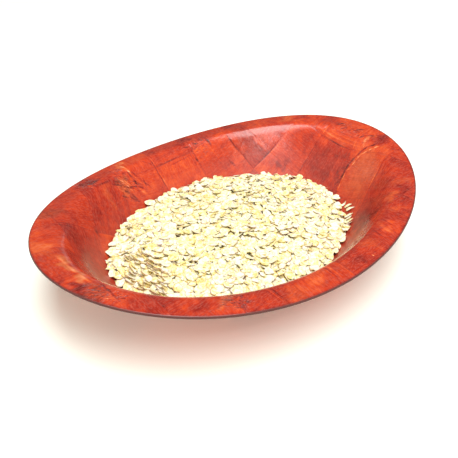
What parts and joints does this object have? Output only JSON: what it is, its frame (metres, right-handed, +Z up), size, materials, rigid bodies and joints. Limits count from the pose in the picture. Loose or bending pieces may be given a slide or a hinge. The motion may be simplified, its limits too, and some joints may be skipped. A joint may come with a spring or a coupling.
{
  "type": "bowl of rolled oats",
  "caption": "Oval serving bowl pressed from woven wood veneer, with a flat lip and a saddle-shaped rim, holding a low heap of rolled oat flakes.",
  "frame": {"origin": "middle of the flat underside that the bowl stands on", "axes": "+X along the bowl's long axis, +Y along its short axis towards the side where the heap is highest, +Z up"},
  "size_m": [0.3048, 0.225, 0.0601],
  "materials": {
    "lacquered_wood": "red-brown stained veneer strips, woven and pressed, under a clear semi-gloss lacquer",
    "oat_flakes": "dry matt oat flakes, cream with straw and tan patches"
  },
  "bodies": {
    "root": {"bowl": "lacquered_wood", "oats": "oat_flakes"}
  },
  "joints": []
}
